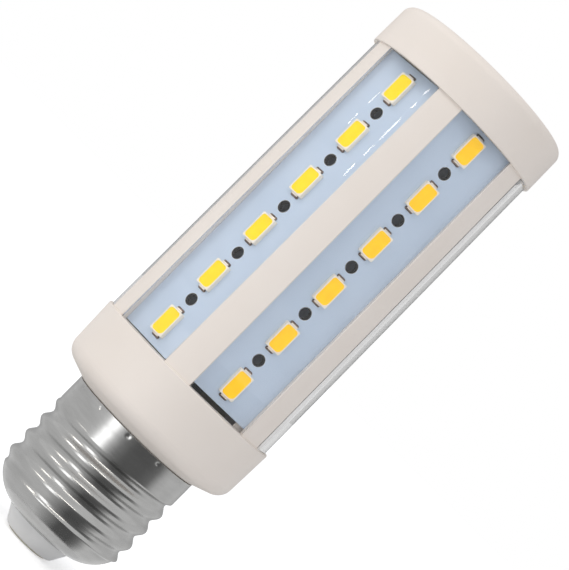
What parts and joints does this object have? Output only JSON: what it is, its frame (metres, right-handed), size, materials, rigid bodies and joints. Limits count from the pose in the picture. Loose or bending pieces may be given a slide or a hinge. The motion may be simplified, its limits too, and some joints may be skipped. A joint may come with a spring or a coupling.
{
  "type": "led light bulb",
  "caption": "Corn-style LED bulb: chips on flat boards behind clear windows in a ribbed white housing, round cap, cup and 27 mm screw base",
  "frame": {"origin": "tip of the centre contact, on the axis of the bulb, below the middle of its box", "axes": "+Z along the bulb's axis from the screw base to the head; -Y out of the first lit side; +X to the right seen from that side"},
  "size_m": [0.0372, 0.0372, 0.1095],
  "materials": {
    "housing_white": "warm white moulded plastic with a fine satin surface",
    "cover_clear": "clear polished plastic",
    "board_mask": "smooth white solder mask with a cool tint on an aluminium core",
    "led_frame": "cream white moulded chip body",
    "led_phosphor": "yellow phosphor filling, slightly glossy",
    "terminal_tin": "tinned terminals with solder",
    "shell_nickel": "bright nickel plating on rolled sheet",
    "insulator_grey": "pale grey, slightly translucent moulded plastic",
    "contact_brass": "turned brass",
    "driver_laminate": "bare phenolic circuit laminate",
    "film_capacitor_red": "dipped resin coating",
    "can_sleeve": "dark shrink sleeve",
    "chip_black": "black moulded resin",
    "resistor_glaze": "tan lacquered ceramic",
    "wire_red": "soft red insulation",
    "wire_black": "soft black insulation"
  },
  "bodies": {
    "root": {"bleed_resistor": "resistor_glaze", "bridge_rectifier": "chip_black", "centre_contact": "contact_brass", "cover_1": "cover_clear", "cover_2": "cover_clear", "cover_3": "cover_clear", "cover_4": "cover_clear", "cover_5": "cover_clear", "cover_6": "cover_clear", "driver_board": "driver_laminate", "film_capacitor": "film_capacitor_red", "fuse_resistor": "resistor_glaze", "housing": "housing_white", "insulator": "insulator_grey", "led_board_1": "board_mask", "led_board_2": "board_mask", "led_board_3": "board_mask", "led_board_4": "board_mask", "led_board_5": "board_mask", "led_board_6": "board_mask", "led_bodies_1": "led_frame", "led_bodies_2": "led_frame", "led_bodies_3": "led_frame", "led_bodies_4": "led_frame", "led_bodies_5": "led_frame", "led_bodies_6": "led_frame", "led_phosphor_1": "led_phosphor", "led_phosphor_2": "led_phosphor", "led_phosphor_3": "led_phosphor", "led_phosphor_4": "led_phosphor", "led_phosphor_5": "led_phosphor", "led_phosphor_6": "led_phosphor", "led_terminals_1": "terminal_tin", "led_terminals_2": "terminal_tin", "led_terminals_3": "terminal_tin", "led_terminals_4": "terminal_tin", "led_terminals_5": "terminal_tin", "led_terminals_6": "terminal_tin", "led_wire_negative": "wire_black", "led_wire_positive": "wire_red", "link_wires": "wire_black", "live_wire": "wire_red", "neutral_wire": "wire_black", "screw_shell": "shell_nickel", "smoothing_capacitor": "can_sleeve", "top_cap": "housing_white"}
  },
  "joints": []
}
